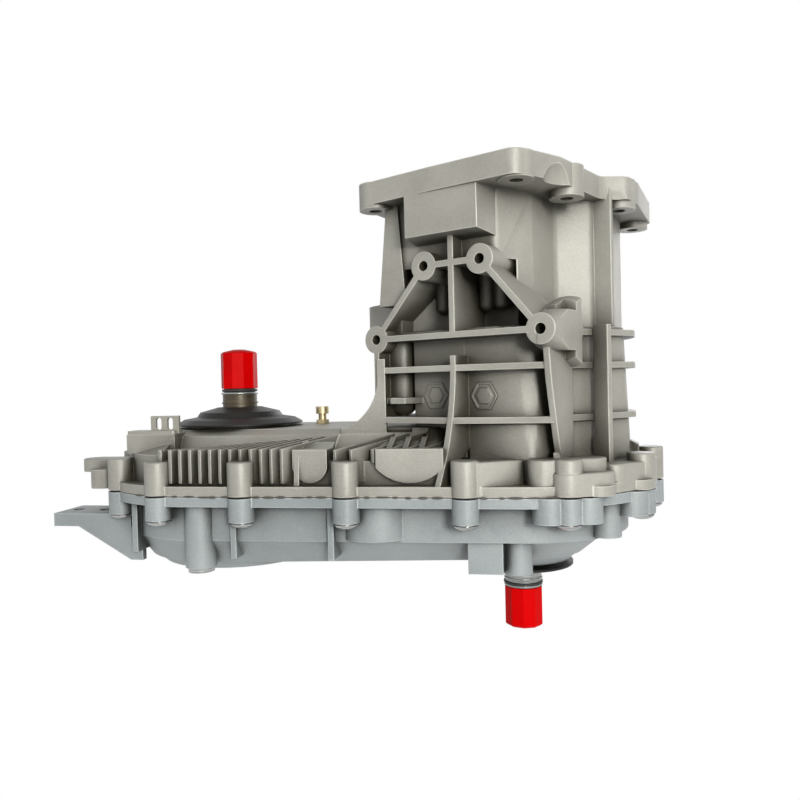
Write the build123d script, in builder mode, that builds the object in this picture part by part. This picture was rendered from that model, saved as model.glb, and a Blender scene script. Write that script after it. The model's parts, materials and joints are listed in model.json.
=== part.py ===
from build123d import *
import math
import os

os.makedirs("parts", exist_ok=True)

# Transfer case, standing on end as photographed: the transmission side is up.
# Origin: centre of the mounting face, on the main shaft axis. The front output
# stands at negative X. All sizes are in millimetres.

# Gear train between the two shafts
gear_module = 4.5
gear_teeth = 30
pressure_angle = 20
gear_width = 34
gear_backlash = 0.3
pitch_radius = gear_module * gear_teeth / 2
root_radius = pitch_radius - 1.25 * gear_module
idler_x = -2 * pitch_radius
front_x = 2 * idler_x

# Levels
split_z = -260
gear_mid_z = -265
gear_top_z = gear_mid_z + gear_width / 2
gear_bottom_z = gear_mid_z - gear_width / 2
lip = 8
roof_edge_z = -228
roof_z = -209
barrel_top_z = -128
bell_floor_z = -60
cam_roof_z = -96
rear_floor_z = -330
rear_middle_z = -322

# Fits and gaps
running_gap = 0.05
free_gap = 0.5

# Casing
wall = 6
lip_radius = 117
wall_radius = 103
roof_radius = 62
barrel_radius = 96
body_radius = 91.5
bell_turn = 25
sealant_thickness = 0.8

# Near face of the bell: bosses and ribs, in its turned frame
face_v = -104
face_depth = 56
boss_radius = 11.8
boss_hole_radius = 4.2
boss_hole_depth = 24
feature_u = -7.5
boss_upper_z = -75.7
boss_lower_z = -133.3
boss_upper_half = 26
boss_lower_half = 76
rib = 5

pocket_v = -52
pocket_top_z = -74
pocket_height = 54
pocket_spans = ((-66, -10), (-5, 34))
column_spots = (-40, -16, 3, 17)
column_v = -62
column_radius = 7
column_bottom_z = -106

near_wall_v = -90
flat_wall_v = -84
facet_distance = 81
facet_angle = -24.6
barrel_wall = 8
ring_rib = 5
ledge_upper_z = -160
ledge_short_z = -186
ledge_lower_z = -202
scoop_radius = 25
scoop_spots = ((88, -76), (102, -6))
scoop_z = -24

# Flange lugs, in the turned frame of the bell
flange_thickness = 19
register_radius = 66
throat_depth = 15
lug_radius = 14
lug_hole_radius = 5.6
lug_a = (49, -99)
lug_b = (65, -40)
lug_c = (84, 31)
lug_d = (68, 120)
lug_e = (-85, -98)
lug_f = (-92, -20)
lug_g = (-90, 60)
lug_h = (-72, 122)

# Case bolts: along both flanks, then around both ends
bolt_radius = 4
bolt_clearance_radius = 4.5
bolt_boss_radius = 9.5
bolt_boss_top = 28
bolt_boss_bottom = 20
bolt_depth = 18
bolt_head_radius = 6.5
bolt_flange_radius = 9
bolt_head_height = 6
bolt_flange_height = 2
bolt_circle_radius = 113
flank_bolt_x = (-224, -136, -41)
main_end_angles = (-71, -31, 0, 31, 71)
front_end_angles = (105, 137, 180, 223, 255)

# Fins on the roof slope
fin_count = 13
fin_pitch = 10.4
fin_first_x = -304
fin_thickness = 4.4
fin_second_count = 6
fin_second_pitch = 13
fin_second_x = -143
cup_spans = ((-181, -152), (-112, -58))
cup_front_y = 109
cup_depth = 26
cup_top_z = -223
cup_bottom_z = -250

# Actuator: motor pinion, toothed sector of the cam ring, pressure plate
sector_module = 2
sector_teeth = 98
pinion_teeth = 17
sector_shown_teeth = 9
sector_range = 16
sector_z = -112
sector_width = 9
sector_radius = sector_module * sector_teeth / 2
pinion_radius = sector_module * pinion_teeth / 2
motor_distance = sector_radius + pinion_radius
motor_angle = 172
motor_x = motor_distance * math.cos(math.radians(motor_angle))
motor_y = motor_distance * math.sin(math.radians(motor_angle))
motor_radius = 17
motor_length = 58
pilot_radius = 10
screw_radius = 2.5
screw_head_radius = 4.5
ear_distance = motor_radius + 6
ear_radius = 8
ear_angles = (100, 244)
idler_pin_seat = 18
lobe_radius = 27
lobe_half_angle = 21
lobe_top_z = -98
lobe_bottom_z = -126

# Clutch pack
drum_radius = 72
drum_top_z = -146
plate_inner_radius = 36
plate_outer_radius = 66
plate_thickness = 3
plate_count = 5
plate_gap = 0.4
clutch_top_z = -152
plate_travel = 1

# Shafts, bearings and seals
bearing_bore_radius = 20
bearing_outer_radius = 40
bearing_width = 18
ball_count = 8
ball_radius = 6
ball_gap = 0.04
main_bearing_z = -92
rear_bearing_z = -316
front_upper_bearing_z = -240
front_lower_bearing_z = -316
seal_height = 7
seal_outer_radius = 31
gear_bore_radius = 24
gear_hub_radius = 30
gear_hub_bottom_z = -296
gear_hub_top_z = -242
idler_pin_radius = 15
idler_bore_radius = 18
idler_boss_radius = 24
sleeve_ring = 1.5
front_sleeve_top_z = -176
plug_radius = 9
plug_head_radius = 11
dowel_radius = 4
breather_spot = (-195, 28)
bracket_x = -312
bracket_y = 68
bracket_foot_z = -211
bracket_top_z = -195
shaft_seal_radius = 18
socket_radius = 25
socket_top_z = -18
socket_depth = 34
rear_neck_z = -338
front_neck_z = -198
stub_radius = 15
stub_root_radius = 13.6
stub_teeth = 20
neck_radius = 16.4
cap_radius = 17.6
cap_bore_radius = 15.4
cap_length = 38
cap_wall = 2.5
rear_cap_z = -358
front_cap_z = -172
shield_radius = 60
slinger_radius = 45


def bell_plane(z):
    turn = math.radians(bell_turn)
    return Plane(origin=(0, 0, z), x_dir=(math.cos(turn), -math.sin(turn), 0), z_dir=(0, 0, 1))


def face_plane(v):
    turn = math.radians(bell_turn)
    return Plane(
        origin=(v * math.sin(turn), v * math.cos(turn), 0),
        x_dir=(math.cos(turn), -math.sin(turn), 0),
        z_dir=(-math.sin(turn), -math.cos(turn), 0),
    )


# Plane across the near face at one width, drawn in depth and height
def rib_plane(u):
    turn = math.radians(bell_turn)
    return Plane(
        origin=(u * math.cos(turn), -u * math.sin(turn), 0),
        x_dir=(math.sin(turn), math.cos(turn), 0),
        z_dir=(math.cos(turn), -math.sin(turn), 0),
    )


def at(z):
    return Plane.XY.offset(z)


def ring_spot(centre_x, radius, angle):
    a = math.radians(angle)
    return (centre_x + radius * math.cos(a), radius * math.sin(a))


bolt_spots = [(x, side * bolt_circle_radius) for x in flank_bolt_x for side in (-1, 1)]
bolt_spots += [ring_spot(0, bolt_circle_radius, angle) for angle in main_end_angles]
bolt_spots += [ring_spot(front_x, bolt_circle_radius, angle) for angle in front_end_angles]
boss_spots = (
    (feature_u - boss_upper_half, boss_upper_z),
    (feature_u + boss_upper_half, boss_upper_z),
    (feature_u - boss_lower_half, boss_lower_z),
    (feature_u + boss_lower_half, boss_lower_z),
)
lugs = (
    (lug_a, 20), (lug_b, 25), (lug_c, 25), (lug_d, 25),
    (lug_e, 22), (lug_f, 22), (lug_g, 22), (lug_h, 22),
)
lug_spots = [spot for spot, drop in lugs]
ear_spots = [
    (motor_x + ear_distance * math.cos(math.radians(a)), motor_y + ear_distance * math.sin(math.radians(a)))
    for a in ear_angles
]
dowel_spots = (ring_spot(0, bolt_circle_radius - 4, 20), ring_spot(front_x, bolt_circle_radius - 4, 200))


def save(name, builder):
    builder.part.label = name
    export_step(builder.part, "parts/" + name + ".step")


# One involute tooth on the X axis; its root is sunk a little under the root circle
def tooth_face(module_, teeth, backlash):
    pitch = module_ * teeth / 2
    base = pitch * math.cos(math.radians(pressure_angle))
    tip = pitch + module_
    root = pitch - 1.25 * module_
    start = max(base, root)
    middle = (start + tip) / 2
    sunk = root - 0.3 * module_
    at_pitch = math.tan(math.radians(pressure_angle)) - math.radians(pressure_angle)

    def point(r, side):
        a1 = math.acos(min(1, base / r))
        half = (math.pi * module_ / 2 - backlash) / 2 / pitch + at_pitch - math.tan(a1) + a1
        return (r * math.cos(half), side * r * math.sin(half))

    def foot(side):
        x, y = point(start, side)
        return (sunk * x / start, sunk * y / start)

    with BuildSketch() as tooth:
        with BuildLine():
            Line(foot(-1), point(start, -1))
            ThreePointArc(point(start, -1), point(middle, -1), point(tip, -1))
            ThreePointArc(point(tip, -1), (tip, 0), point(tip, 1))
            ThreePointArc(point(tip, 1), point(middle, 1), point(start, 1))
            Line(point(start, 1), foot(1))
            Line(foot(1), foot(-1))
        make_face()
    return tooth.sketch


def spline_sketch(outer, root, teeth):
    half_foot = math.radians(360 / teeth * 0.3)
    half_tip = math.radians(360 / teeth * 0.15)
    sunk = root - 0.6
    with BuildSketch() as section:
        Circle(root)
        with PolarLocations(0, teeth):
            Polygon(
                (sunk * math.cos(half_foot), -sunk * math.sin(half_foot)),
                (outer * math.cos(half_tip), -outer * math.sin(half_tip)),
                (outer * math.cos(half_tip), outer * math.sin(half_tip)),
                (sunk * math.cos(half_foot), sunk * math.sin(half_foot)),
                align=None,
            )
    return section.sketch


def flange_outline():
    with BuildSketch() as outline:
        with BuildLine():
            FilletPolyline(
                (-97, -110), (-20, -114), (57, -116), (73, -70), (78, 2), (97, 18),
                (97, 45), (82, 134), (20, 134), (-85, 137), (-104, 110), (-106, -20),
                radius=11, close=True,
            )
        make_face()
    return outline.sketch


# Bell body below the flange: a rounded box with a stepped near right corner
def body_outline(shrink):
    with BuildSketch() as outline:
        with BuildLine():
            FilletPolyline(
                (-78 + shrink, near_wall_v + shrink), (26 - shrink / 2, near_wall_v + shrink),
                (41 - shrink, -54 + shrink / 2), (43 - shrink, -15 + shrink),
                (70 - shrink, 4 + shrink), (70 - shrink, 55), (64 - shrink, 97 - shrink),
                (30, 112 - shrink), (-45, 112 - shrink), (-78 + shrink, 92 - shrink),
                radius=8, close=True,
            )
        make_face()
    return outline.sketch


# Round barrel with a flat near wall and a flat near right corner, drawn in the bell's plane
def barrel_section(radius, inset):
    turn = math.radians(facet_angle)
    reach = facet_distance - inset
    with BuildSketch() as section:
        Circle(radius - inset)
        with Locations((0, flat_wall_v + inset)):
            Rectangle(4 * radius, radius, align=(Align.CENTER, Align.MAX), mode=Mode.SUBTRACT)
        with Locations(Location((reach * math.cos(turn), reach * math.sin(turn), 0), facet_angle)):
            Rectangle(radius, 4 * radius, align=(Align.MIN, Align.CENTER), mode=Mode.SUBTRACT)
    return section.sketch


def racetrack(radius):
    with BuildSketch() as track:
        with Locations((idler_x, 0)):
            SlotCenterToCenter(-front_x, 2 * radius)
    return track.sketch


# Outline of the rear casing: full round at the front output, narrower at the main shaft
def rear_track(radius, nose):
    phi = math.acos((radius - nose) / -front_x)
    low_front = (front_x + radius * math.cos(phi), -radius * math.sin(phi))
    top_front = (low_front[0], -low_front[1])
    low_main = (nose * math.cos(phi), -nose * math.sin(phi))
    top_main = (low_main[0], -low_main[1])
    with BuildSketch() as track:
        with BuildLine():
            Line(low_front, low_main)
            ThreePointArc(low_main, (nose, 0), top_main)
            Line(top_main, top_front)
            ThreePointArc(top_front, (front_x - radius, 0), low_front)
        make_face()
    return track.sketch


def lobe_outline(radius, inner):
    with BuildSketch() as outline:
        with Locations((motor_x, motor_y)):
            Circle(radius)
        for side in (-1, 1):
            with Locations(ring_spot(0, sector_radius - 2, motor_angle + side * lobe_half_angle)):
                Circle(inner)
        Circle(2 * inner)
        make_hull()
    return outline.sketch


# Front housing, the tall casting
face_ribs = (
    ((boss_lower_half, boss_lower_z), (-boss_lower_half, boss_lower_z)),
    ((-boss_upper_half, boss_upper_z), (-boss_lower_half, boss_lower_z)),
    ((boss_upper_half, boss_upper_z), (boss_lower_half, boss_lower_z)),
    ((-boss_upper_half, boss_upper_z), (boss_upper_half, boss_upper_z)),
    ((0, -54), (0, boss_lower_z)),
)

upright_ribs = (
    (boss_lower_half, ((-50, -136), (-96, -136), (-91, -171), (-79, -218), (-73, -238), (-50, -238))),
    (-boss_lower_half, ((-60, -136), (-104, -136), (-104, -200), (-60, -200))),
)
ledge_left = feature_u - boss_lower_half
ledge_right = feature_u + boss_lower_half
ledges = (
    (ledge_upper_z, ((ledge_left, -104), (feature_u, -104), (ledge_right, -91), (ledge_right, -50), (ledge_left, -60))),
    (ledge_short_z, ((ledge_left, -104), (ledge_left + 26, -100), (ledge_left + 36, -80), (ledge_left, -60))),
    (ledge_lower_z, ((ledge_left, -104), (feature_u, -109), (ledge_right, -83), (ledge_right, -50), (ledge_left, -60))),
)

with BuildPart() as front_housing:
    # split flange and roof over the gear train
    with BuildSketch(at(split_z)):
        add(racetrack(lip_radius))
    extrude(amount=lip)
    with BuildSketch(at(split_z)):
        add(racetrack(wall_radius))
    extrude(amount=roof_edge_z - split_z)
    with BuildSketch(at(roof_edge_z)):
        add(racetrack(wall_radius))
    with BuildSketch(at(roof_z)):
        add(racetrack(roof_radius))
    loft()
    # fins on the slope
    with BuildSketch(Plane.YZ.offset(fin_first_x)) as fin_sketch:
        Polygon(
            (-40, split_z + lip), (-112, split_z + lip), (-109, roof_edge_z + 1),
            (-76, roof_z - 6), (-40, roof_z - 6), align=None,
        )
    fin = extrude(amount=fin_thickness, mode=Mode.PRIVATE)
    with Locations([(i * fin_pitch, 0, 0) for i in range(fin_count)]):
        add(fin)
    # clutch barrel with its ring ribs
    for low_z, low_radius, high_z, high_radius in (
        (split_z + 1, lip_radius - 9, split_z + 28, barrel_radius),
        (split_z + 28, barrel_radius, barrel_top_z, body_radius),
    ):
        with BuildSketch(bell_plane(low_z)):
            add(barrel_section(low_radius, 0))
        with BuildSketch(bell_plane(high_z)):
            add(barrel_section(high_radius, 0))
        loft()
    for z in (boss_lower_z, ledge_upper_z, ledge_lower_z):
        with BuildSketch(bell_plane(z - rib / 2)):
            add(barrel_section(barrel_radius, -ring_rib))
        extrude(amount=rib)
    # bell body, flange and lugs
    with BuildSketch(bell_plane(barrel_top_z - 2)):
        add(body_outline(0))
    extrude(amount=-barrel_top_z + 2)
    # pockets and fluted columns of the near face
    with BuildSketch(face_plane(pocket_v)):
        for left, right in pocket_spans:
            with Locations((left, pocket_top_z)):
                Rectangle(right - left, pocket_height, align=(Align.MIN, Align.MAX))
    extrude(amount=60, mode=Mode.SUBTRACT)
    for u in column_spots:
        with BuildSketch(bell_plane(column_bottom_z)):
            with Locations((u, column_v)):
                Circle(column_radius)
            with Locations((u, pocket_v)):
                Rectangle(2 * column_radius, -2 * (column_v - pocket_v))
        extrude(amount=pocket_top_z - column_bottom_z)
        with Locations(bell_plane(column_bottom_z) * Location((u, column_v, 0))):
            Sphere(column_radius)
    with BuildSketch(bell_plane(0)):
        add(flange_outline())
    extrude(amount=-flange_thickness)
    with Locations([bell_plane(scoop_z) * Location((u, v, 0)) for u, v in scoop_spots]):
        Sphere(scoop_radius, mode=Mode.SUBTRACT)
    for spot, drop in lugs:
        with BuildSketch(bell_plane(0)):
            with Locations(spot):
                Circle(lug_radius)
        extrude(amount=-drop)
    # ribs and bracket bosses on the near face
    with BuildSketch(face_plane(face_v)):
        with BuildLine():
            for start, end in face_ribs:
                Line((start[0] + feature_u, start[1]), (end[0] + feature_u, end[1]))
        trace(line_width=rib)
    extrude(amount=-face_depth)
    with BuildSketch(face_plane(face_v)):
        with Locations(boss_spots):
            Circle(boss_radius)
    extrude(amount=-face_depth)
    with BuildSketch(face_plane(face_v + 4)):
        with Locations(boss_spots[-1]):
            Circle(boss_radius)
    extrude(amount=-48, taper=-19)
    # upright ribs that flare out on to the cover
    for u, profile in upright_ribs:
        with BuildSketch(rib_plane(feature_u + u)):
            Polygon(*profile, align=None)
        extrude(amount=rib / 2, both=True)
    with BuildSketch(rib_plane(feature_u)):
        with BuildLine():
            Line((face_depth + face_v, -252), (face_v, -252))
            Line((face_v, -252), (-131, -252))
            ThreePointArc((-131, -252), (-112, -208), (face_v, -150))
            Line((face_v, -150), (face_depth + face_v, -150))
            Line((face_depth + face_v, -150), (face_depth + face_v, -252))
        make_face()
    extrude(amount=rib / 2, both=True)
    with BuildSketch(Plane.XZ.offset(62)):
        with BuildLine():
            Line((-119, -150), (-119, -170))
            ThreePointArc((-119, -170), (-133, -199), (-166, -213))
            Line((-166, -213), (-90, -213))
            Line((-90, -213), (-90, -150))
            Line((-90, -150), (-119, -150))
        make_face()
    extrude(amount=-rib)
    # ledges between the upright ribs
    for z, outline in ledges:
        with BuildSketch(bell_plane(z - rib / 2)):
            Polygon(*outline, align=None)
        extrude(amount=rib)
    # box boss under the flange
    with BuildSketch(face_plane(face_v - 9)):
        with Locations((-11.5, -34.5)):
            Rectangle(67, 37)
    extrude(amount=-24, taper=-8)
    # pilaster at the left corner
    with BuildSketch(face_plane(face_v + 11)):
        Polygon((-78, -19), (-66, -19), (-59, -104), (-87, -104), align=None)
    extrude(amount=-40)
    # bosses along the split
    with BuildSketch(at(split_z)):
        with Locations(bolt_spots):
            Circle(bolt_boss_radius)
    extrude(amount=bolt_boss_top)
    for left, right in cup_spans:
        with BuildSketch(Plane.XZ.offset(cup_front_y)):
            with BuildLine():
                Line((left, cup_top_z), (right, cup_top_z))
                Line((right, cup_top_z), (right, cup_bottom_z + 12))
                ThreePointArc((right, cup_bottom_z + 12), ((left + right) / 2, cup_bottom_z), (left, cup_bottom_z + 12))
                Line((left, cup_bottom_z + 12), (left, cup_top_z))
            make_face()
        extrude(amount=-cup_depth)
    with BuildSketch(Plane.YZ.offset(fin_second_x)):
        Polygon(
            (-74, roof_edge_z - 8), (-106, roof_edge_z - 8), (-106, cup_top_z), (-74, roof_z - 3), align=None,
        )
    short_fin = extrude(amount=fin_thickness, mode=Mode.PRIVATE)
    with Locations([(i * fin_second_pitch, 0, 0) for i in range(fin_second_count)]):
        add(short_fin)
    with BuildSketch(at(split_z)):
        with Locations((91, -62), (14, -100), (36, -101)):
            Circle(15)
    extrude(amount=26)
    with BuildSketch(at(split_z)):
        with Locations((58, -98)):
            Circle(14)
        with Locations((-378, -62)):
            Circle(12)
        with Locations((-358, -60)):
            Rectangle(40, 20)
    extrude(amount=17)
    # corner ribs on the right side
    with BuildSketch(bell_plane(barrel_top_z)):
        with Locations((77, 9)):
            Rectangle(16, 5)
    extrude(amount=-barrel_top_z - 10)
    with BuildSketch(at(split_z)):
        with Locations(Location(ring_spot(0, barrel_radius - 2, -44) + (0,), -44)):
            Rectangle(14, 5)
    extrude(amount=barrel_top_z - split_z)
    # actuator lobe
    with BuildSketch(at(lobe_bottom_z)):
        add(lobe_outline(lobe_radius, 16))
    extrude(amount=lobe_top_z - lobe_bottom_z)
    # boss for the front output seal
    with BuildSketch(at(roof_z - 6)):
        with Locations((front_x, 0)):
            Circle(bearing_outer_radius + wall)
    extrude(amount=9)
    # pad for the harness bracket
    with BuildSketch(at(roof_edge_z)):
        with Locations((bracket_x - 11, -bracket_y)):
            Rectangle(46, 18)
    extrude(amount=bracket_foot_z - roof_edge_z)
    # gear chamber
    with BuildSketch(at(split_z)):
        add(racetrack(wall_radius - wall))
    extrude(amount=roof_edge_z - split_z - wall, mode=Mode.SUBTRACT)
    with BuildSketch(at(roof_edge_z - wall - 1)):
        add(racetrack(wall_radius - wall - 6))
    with BuildSketch(at(roof_z - wall)):
        add(racetrack(roof_radius - 8))
    loft(mode=Mode.SUBTRACT)
    # clutch chamber
    for low_z, low_radius, high_z, high_radius in (
        (split_z, lip_radius - 9, split_z + 28, barrel_radius),
        (split_z + 28, barrel_radius, barrel_top_z - wall, body_radius),
    ):
        with BuildSketch(bell_plane(low_z)):
            add(barrel_section(low_radius, barrel_wall))
        with BuildSketch(bell_plane(high_z)):
            add(barrel_section(high_radius, barrel_wall))
        loft(mode=Mode.SUBTRACT)
    # idler pin boss and front bearing boss inside the roof
    with BuildSketch(at(roof_z - 4)):
        with Locations((idler_x, 0)):
            Circle(24)
        with Locations((front_x, 0)):
            Circle(bearing_outer_radius + wall)
    extrude(amount=front_upper_bearing_z - roof_z + 4)
    # cam chamber with the sweep of the sector
    with BuildSketch(at(barrel_top_z - wall - 1)):
        Circle(bearing_outer_radius + 1)
    extrude(amount=cam_roof_z - barrel_top_z + wall + 1, mode=Mode.SUBTRACT)
    with BuildSketch(at(sector_z - sector_width / 2 - 2)):
        add(lobe_outline(pinion_radius + 5, 8))
    extrude(amount=sector_width + 4, mode=Mode.SUBTRACT)
    # bell interior below its round register, and main bearing seat
    with BuildSketch(bell_plane(-throat_depth)):
        add(body_outline(wall))
    extrude(amount=bell_floor_z + throat_depth, mode=Mode.SUBTRACT)
    with BuildSketch(at(0)):
        Circle(register_radius)
    extrude(amount=-throat_depth, mode=Mode.SUBTRACT)
    with BuildSketch(at(cam_roof_z)):
        Circle(bearing_outer_radius)
    extrude(amount=main_bearing_z + bearing_width - cam_roof_z, mode=Mode.SUBTRACT)
    with BuildSketch(at(cam_roof_z)):
        Circle(seal_outer_radius)
    extrude(amount=bell_floor_z - cam_roof_z, mode=Mode.SUBTRACT)
    # seats of the front bearing, its seal and the idler pin
    with BuildSketch(at(front_upper_bearing_z - 1)):
        with Locations((front_x, 0)):
            Circle(bearing_outer_radius)
    extrude(amount=bearing_width + 1, mode=Mode.SUBTRACT)
    with BuildSketch(at(front_upper_bearing_z)):
        with Locations((front_x, 0)):
            Circle(seal_outer_radius)
    extrude(amount=50, mode=Mode.SUBTRACT)
    # motor seat and idler pin seat
    with BuildSketch(at(lobe_bottom_z)):
        with Locations((motor_x, motor_y)):
            Circle(motor_radius + 1)
    extrude(amount=-motor_length - 16, mode=Mode.SUBTRACT)
    with BuildSketch(at(lobe_bottom_z)):
        with Locations((motor_x, motor_y)):
            Circle(pilot_radius)
    extrude(amount=10, mode=Mode.SUBTRACT)
    with BuildSketch(at(front_upper_bearing_z)):
        with Locations((idler_x, 0)):
            Circle(idler_pin_radius)
    extrude(amount=idler_pin_seat, mode=Mode.SUBTRACT)
    # holes
    with BuildSketch(bell_plane(0)):
        with Locations(lug_spots):
            Circle(lug_hole_radius)
    extrude(amount=-30, mode=Mode.SUBTRACT)
    with BuildSketch(face_plane(face_v)):
        with Locations(boss_spots):
            Circle(boss_hole_radius)
    extrude(amount=-boss_hole_depth, mode=Mode.SUBTRACT)
    with BuildSketch(at(split_z)):
        with Locations(bolt_spots):
            Circle(bolt_radius)
    extrude(amount=bolt_depth, mode=Mode.SUBTRACT)
    with BuildSketch(at(split_z)):
        with Locations(dowel_spots):
            Circle(dowel_radius)
    extrude(amount=10, mode=Mode.SUBTRACT)
    with BuildSketch(at(roof_z)):
        with Locations(breather_spot):
            Circle(4)
    extrude(amount=-20, mode=Mode.SUBTRACT)
    with BuildSketch(at(lobe_bottom_z)):
        with Locations(ear_spots):
            Circle(screw_radius)
    extrude(amount=6, mode=Mode.SUBTRACT)
save("front_housing", front_housing)

# Rear housing, the shallow casting below the split
rear_wall_radius = 101
column_x = -268
filler_x = -190
foot_hole_spots = ((-418, -44), (-390, -44))
filler_z = -284
with BuildPart() as rear_housing:
    with BuildSketch(at(split_z - sealant_thickness)):
        add(racetrack(lip_radius))
    extrude(amount=-lip)
    with BuildSketch(at(split_z - sealant_thickness)):
        add(rear_track(rear_wall_radius, rear_wall_radius - 8))
    extrude(amount=-(split_z - rear_middle_z) + sealant_thickness + 22)
    with BuildSketch(at(rear_middle_z + 22)):
        add(rear_track(rear_wall_radius, 80))
    with BuildSketch(at(rear_middle_z)):
        add(rear_track(rear_wall_radius - 16, 54))
    loft()
    for x, top, bottom in ((front_x, rear_wall_radius - 18, rear_wall_radius - 28), (0, 52, 43)):
        with BuildSketch(at(rear_middle_z + 1)):
            with Locations((x, 0)):
                Circle(top)
        with BuildSketch(at(rear_floor_z)):
            with Locations((x, 0)):
                Circle(bottom)
        loft()
    # bosses and bolt pads along the split
    with BuildSketch(at(split_z - sealant_thickness)):
        with Locations(bolt_spots):
            Circle(bolt_boss_radius)
    extrude(amount=-bolt_boss_bottom)
    with BuildSketch(at(split_z - sealant_thickness)):
        with Locations((88, -66), (22, -106), (50, -100)):
            Circle(13)
    extrude(amount=-bolt_boss_bottom)
    # column with the drain, idler swelling, box nose and round column
    with BuildSketch(at(split_z - lip)):
        with Locations((column_x, -rear_wall_radius + 4)):
            Circle(13)
    extrude(amount=-54)
    with BuildSketch(at(split_z - lip)):
        with Locations((-118, -78)):
            Circle(30)
    extrude(amount=-30)
    with BuildSketch(at(rear_middle_z - 4)):
        with Locations((-28, -70)):
            Rectangle(28, 40)
    extrude(amount=30)
    with BuildSketch(at(rear_middle_z - 6)):
        with Locations((-3, -72)):
            Circle(12)
    extrude(amount=50)
    with BuildSketch(at(split_z - lip)):
        with Locations((68, -68)):
            Circle(12)
    extrude(amount=-30)
    # vertical ribs on the near wall
    with BuildSketch(at(split_z - lip)):
        for x in (-236, -152, -336):
            with Locations((x, 0)):
                Rectangle(5, 2 * rear_wall_radius + 5 if x > -300 else 170)
    extrude(amount=rear_middle_z + 8 - split_z + lip)
    # foot at the front output end, with its gusset
    with BuildSketch(at(-296)):
        with Locations((-390, -44)):
            Rectangle(78, 44)
    extrude(amount=12)
    with BuildSketch(Plane.XZ.offset(60)):
        Polygon((-404, -296), (-340, -296), (-340, -326), (-352, -326), align=None)
    extrude(amount=6)
    # gear chamber
    with BuildSketch(at(split_z - sealant_thickness)):
        add(rear_track(wall_radius - wall - 3, wall_radius - wall - 10))
    extrude(amount=-(split_z - rear_middle_z) + sealant_thickness + 24, mode=Mode.SUBTRACT)
    with BuildSketch(at(rear_middle_z + 25)):
        add(rear_track(rear_wall_radius - 8, 72))
    with BuildSketch(at(rear_middle_z + wall)):
        add(rear_track(rear_wall_radius - 22, 46))
    loft(mode=Mode.SUBTRACT)
    # bearing and idler pin bosses inside
    with BuildSketch(at(rear_middle_z + 1)):
        with Locations((front_x, 0), (0, 0)):
            Circle(bearing_outer_radius + wall)
        with Locations((idler_x, 0)):
            Circle(24)
    extrude(amount=rear_bearing_z + bearing_width - rear_middle_z - 1)
    with BuildSketch(at(rear_bearing_z)):
        with Locations((front_x, 0), (0, 0)):
            Circle(bearing_outer_radius)
    extrude(amount=40, mode=Mode.SUBTRACT)
    with BuildSketch(at(rear_bearing_z)):
        Circle(seal_outer_radius)
    extrude(amount=-30, mode=Mode.SUBTRACT)
    with BuildSketch(at(rear_bearing_z)):
        with Locations((front_x, 0)):
            Circle(seal_outer_radius - 8)
    extrude(amount=-5, mode=Mode.SUBTRACT)
    with BuildSketch(at(split_z)):
        with Locations(bolt_spots):
            Circle(bolt_clearance_radius)
    extrude(amount=-40, mode=Mode.SUBTRACT)
    with BuildSketch(at(split_z)):
        with Locations(dowel_spots):
            Circle(dowel_radius)
    extrude(amount=-10, mode=Mode.SUBTRACT)
    with BuildSketch(at(-296)):
        with Locations(foot_hole_spots):
            Circle(lug_hole_radius)
    extrude(amount=14, mode=Mode.SUBTRACT)
    # idler pin seat, drain hole and filler hole
    with BuildSketch(at(rear_bearing_z)):
        with Locations((idler_x, 0)):
            Circle(idler_pin_radius)
    extrude(amount=40, mode=Mode.SUBTRACT)
    with BuildSketch(at(rear_middle_z)):
        with Locations((column_x, -rear_wall_radius + 4)):
            Circle(plug_radius)
    extrude(amount=20, mode=Mode.SUBTRACT)
    with BuildSketch(Plane.XZ.offset(-rear_wall_radius + 12)):
        with Locations((filler_x, filler_z)):
            Circle(plug_radius + 5)
    extrude(amount=-16)
    with BuildSketch(Plane.XZ.offset(-rear_wall_radius + 14)):
        with Locations((filler_x, filler_z)):
            Circle(plug_radius)
    extrude(amount=-30, mode=Mode.SUBTRACT)
save("rear_housing", rear_housing)


# Sealant bead between the castings
with BuildPart() as case_sealant:
    with BuildSketch(at(split_z - sealant_thickness)):
        add(racetrack(lip_radius))
        add(racetrack(wall_radius - wall), mode=Mode.SUBTRACT)
        with Locations(bolt_spots):
            Circle(bolt_clearance_radius, mode=Mode.SUBTRACT)
        with Locations(dowel_spots):
            Circle(dowel_radius, mode=Mode.SUBTRACT)
    extrude(amount=sealant_thickness)
save("case_sealant", case_sealant)

# Flange bolts that clamp the castings, all alike
with BuildPart() as bolt:
    with BuildSketch(at(split_z - sealant_thickness - bolt_boss_bottom)):
        Circle(bolt_radius)
    extrude(amount=bolt_boss_bottom + sealant_thickness + bolt_depth - 1)
    with BuildSketch(at(split_z - sealant_thickness - bolt_boss_bottom)):
        Circle(bolt_flange_radius)
    extrude(amount=-bolt_flange_height)
    with BuildSketch(at(split_z - sealant_thickness - bolt_boss_bottom - bolt_flange_height)):
        RegularPolygon(bolt_head_radius, 6)
    extrude(amount=-bolt_head_height)
with BuildPart() as case_bolts:
    with Locations([(x, y, 0) for x, y in bolt_spots]):
        add(bolt.part)
save("case_bolts", case_bolts)



# Bearing rings, balls and cage
def bearing_outer(x, z):
    pitch = (bearing_bore_radius + bearing_outer_radius) / 2
    with BuildPart() as ring:
        with BuildSketch(at(z)):
            with Locations((x, 0)):
                Circle(bearing_outer_radius)
                Circle(pitch + ball_radius * 0.75, mode=Mode.SUBTRACT)
        extrude(amount=bearing_width)
        with Locations((x, 0, z + bearing_width / 2)):
            Torus(pitch, ball_radius + ball_gap, mode=Mode.SUBTRACT)
    return ring


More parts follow.
